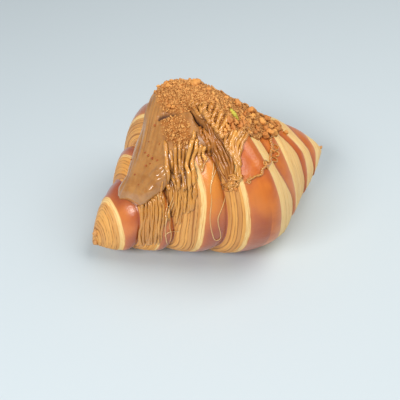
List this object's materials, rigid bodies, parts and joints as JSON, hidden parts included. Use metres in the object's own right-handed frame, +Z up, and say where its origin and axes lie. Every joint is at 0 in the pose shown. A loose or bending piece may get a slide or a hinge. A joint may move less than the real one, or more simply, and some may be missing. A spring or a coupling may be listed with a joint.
{
  "type": "croissant",
  "caption": "Fat, straight croissant with open flaky layers, rolled from one sheet of dough, with caramel poured and drizzled over its ridge and biscuit crumbs on top.",
  "frame": {"origin": "on the surface it stands on, under the middle of the roll", "axes": "+X along the roll, towards its higher, pointed tip; -Y towards the front, where the caramel runs down; +Z up"},
  "size_m": [0.14, 0.1022, 0.0852],
  "materials": {
    "pastry": "glazed golden brown crust, with pale flaky layers where the dough was cut",
    "caramel": "glossy thick caramel with rough biscuit crumbs"
  },
  "bodies": {
    "root": {"croissant": "pastry", "caramel_topping": "caramel"}
  },
  "joints": []
}
